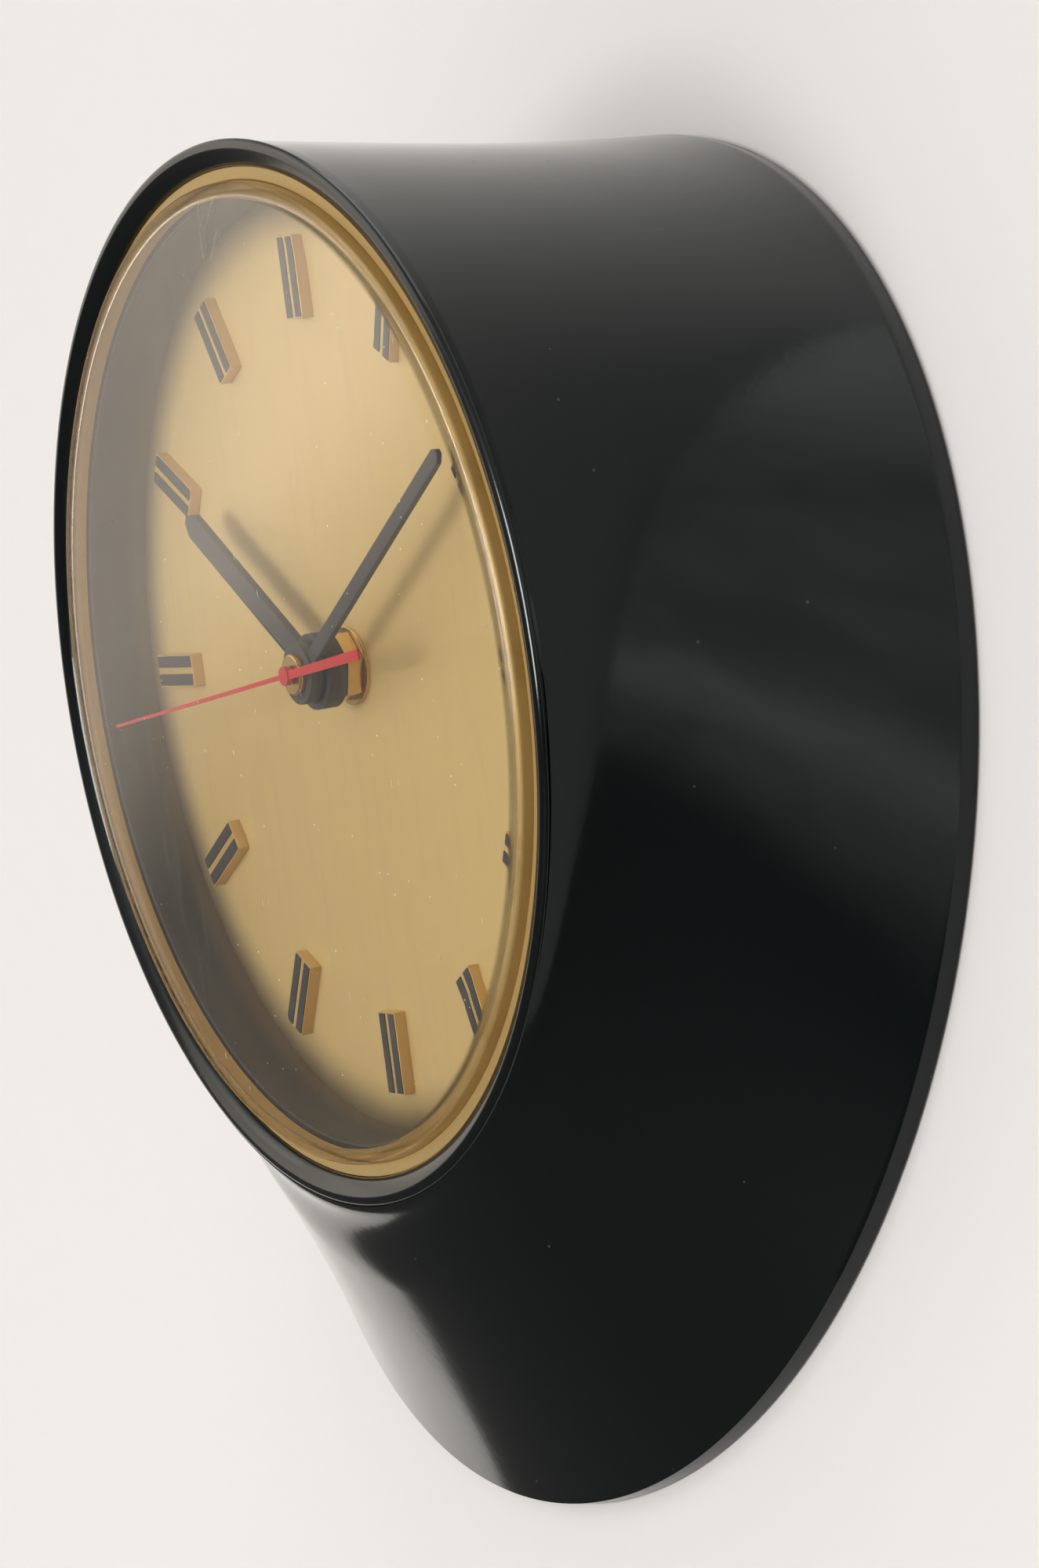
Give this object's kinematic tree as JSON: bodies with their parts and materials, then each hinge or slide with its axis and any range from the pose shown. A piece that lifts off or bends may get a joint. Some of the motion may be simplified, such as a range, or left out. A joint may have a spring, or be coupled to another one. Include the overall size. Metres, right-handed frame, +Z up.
{
  "type": "wall clock",
  "caption": "Round wall clock: a tilted dial under a crowned crystal in a flared case, with hour, minute and second hands driven by a geared battery movement and a keyhole hanger.",
  "frame": {"origin": "centre of the case's rear rim, on the plane of the wall", "axes": "+Z up the wall, +Y into the wall, +X to the right as seen from the front; the face looks towards -Y and leans forward"},
  "size_m": [0.262, 0.0936, 0.262],
  "materials": {
    "case_black": "gloss",
    "bezel_gold": "satin",
    "crystal_clear": "gloss",
    "dial_gold": "satin",
    "marker_gold": "polished",
    "inlay_black": "satin",
    "hand_black": "matte",
    "hand_red": "satin",
    "centre_brass": "polished",
    "clamp_steel": "satin",
    "screw_steel": "satin",
    "liner_fibre": "matte",
    "plate_brass": "satin",
    "train_brass": "satin",
    "arbor_steel": "polished",
    "board_brown": "satin",
    "coil_copper": "satin",
    "transistor_can": "satin",
    "capacitor_blue": "gloss",
    "housing_black": "matte",
    "cell_jacket": "gloss",
    "contact_nickel": "satin",
    "hanger_steel": "satin",
    "knob_black": "satin",
    "balance_steel": "satin",
    "magnet_grey": "satin",
    "pin_jewel": "gloss",
    "spring_blue": "polished"
  },
  "bodies": {
    "case": {"case_shell": "case_black", "dial_tube": "case_black", "bezel_ring": "bezel_gold", "crystal": "crystal_clear", "dial_plate": "dial_gold", "hour_markers": "marker_gold", "marker_inlays": "inlay_black", "dial_clamp_ring": "clamp_steel", "clamp_screws": "screw_steel", "dial_washer": "centre_brass", "dial_nut": "centre_brass", "centre_bush": "centre_brass", "liner_washer": "liner_fibre", "front_plate": "plate_brass", "back_plate": "plate_brass", "plate_pillars": "plate_brass", "minute_stud": "arbor_steel", "circuit_board": "board_brown", "drive_coils": "coil_copper", "transistor": "transistor_can", "capacitor": "capacitor_blue", "board_feet": "plate_brass", "hairspring_stud": "plate_brass", "movement_housing": "housing_black", "housing_screws": "screw_steel", "battery_cell": "cell_jacket", "contact_spring": "contact_nickel", "contact_plate": "contact_nickel", "hanger_plate": "hanger_steel", "hanger_screws": "screw_steel"},
    "second": {"second_hand": "hand_red", "seconds_arbor": "arbor_steel", "index_wheel": "train_brass"},
    "minute": {"minute_hand": "hand_black", "minute_cap": "centre_brass", "minute_arbor": "train_brass", "centre_wheel": "train_brass"},
    "hour": {"hour_hand": "hand_black", "hour_wheel": "train_brass"},
    "third": {"third_wheel": "train_brass", "third_arbor": "arbor_steel"},
    "motion": {"minute_wheel": "train_brass"},
    "setting": {"setting_arbor": "arbor_steel", "setting_knob": "knob_black"},
    "balance": {"balance_wheel": "balance_steel", "balance_staff": "arbor_steel", "balance_magnets": "magnet_grey", "balance_weights": "train_brass", "impulse_pin": "pin_jewel", "hairspring": "spring_blue"}
  },
  "joints": [
    {"name": "second_spin", "type": "hinge", "parent": "case", "child": "second", "pos_m": [0, -0.049, 0.0255], "axis": [0, 0.9728, 0.2317], "continuous": true},
    {"name": "minute_spin", "type": "hinge", "parent": "case", "child": "minute", "pos_m": [0, -0.049, 0.0255], "axis": [0, 0.9728, 0.2317], "continuous": true},
    {"name": "hour_spin", "type": "hinge", "parent": "case", "child": "hour", "pos_m": [0, -0.049, 0.0255], "axis": [0, 0.9728, 0.2317], "continuous": true},
    {"name": "third_spin", "type": "hinge", "parent": "case", "child": "third", "pos_m": [-0.017, -0.049, 0.0255], "axis": [0, 0.9728, 0.2317], "continuous": true},
    {"name": "motion_spin", "type": "hinge", "parent": "case", "child": "motion", "pos_m": [0.0072, -0.05189, 0.03763], "axis": [0, 0.9728, 0.2317], "continuous": true},
    {"name": "setting_spin", "type": "hinge", "parent": "case", "child": "setting", "pos_m": [0.02073, -0.05303, 0.04242], "axis": [0, 0.9728, 0.2317], "continuous": true},
    {"name": "balance_swing", "type": "hinge", "parent": "case", "child": "balance", "pos_m": [0, -0.02954, 0.00855], "axis": [0, 0.9728, 0.2317], "range_deg": [-135, 135], "stiffness_Nm_per_rad": 0.00007}
  ],
  "couplings": [
    {"joint": "minute_spin", "follows": "second_spin", "ratio": 0.016667},
    {"joint": "hour_spin", "follows": "second_spin", "ratio": 0.0013889},
    {"joint": "third_spin", "follows": "second_spin", "ratio": -0.13333},
    {"joint": "motion_spin", "follows": "second_spin", "ratio": -0.0055556},
    {"joint": "setting_spin", "follows": "second_spin", "ratio": 0.016667}
  ]
}
